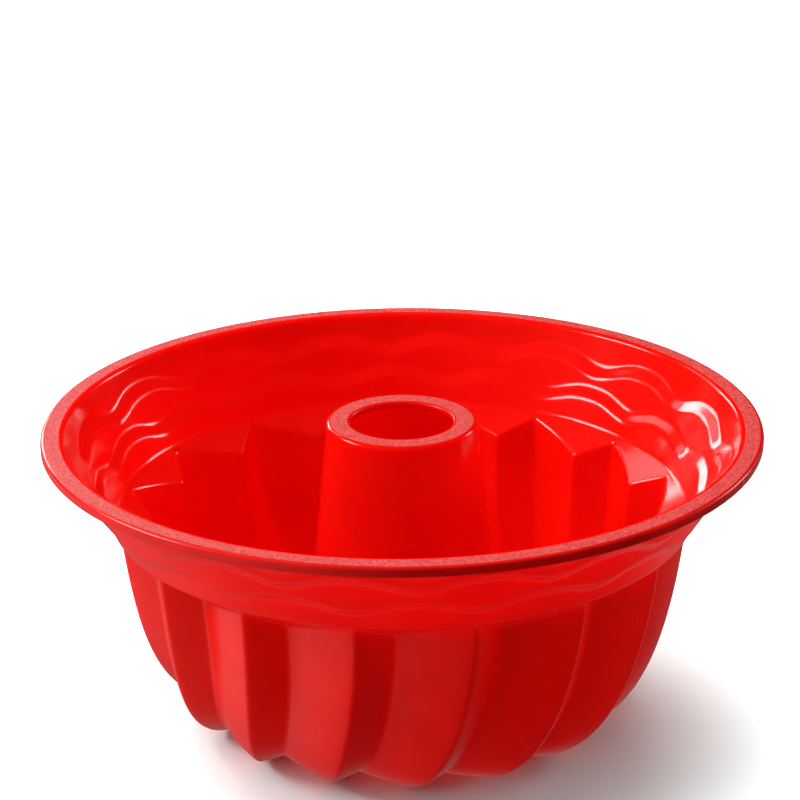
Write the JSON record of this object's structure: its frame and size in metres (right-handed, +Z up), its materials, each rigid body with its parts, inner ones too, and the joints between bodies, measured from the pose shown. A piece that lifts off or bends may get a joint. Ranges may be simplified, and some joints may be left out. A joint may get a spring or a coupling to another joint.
{
  "type": "bundt pan",
  "caption": "Round fluted ring-cake pan with a flat rim, a stepped wavy collar, swirled V-shaped lobes and an open centre tube.",
  "frame": {"origin": "on the resting surface, below the centre of the tube", "axes": "+Z up, out of the open side of the pan; +X and +Y in the resting plane"},
  "size_m": [0.25, 0.25, 0.1065],
  "materials": {
    "silicone": "gloss, with matt flat faces on the rim and the tube's ring",
    "steel_wire": "satin"
  },
  "bodies": {
    "root": {"pan_body": "silicone", "rim_ring": "steel_wire"}
  },
  "joints": []
}
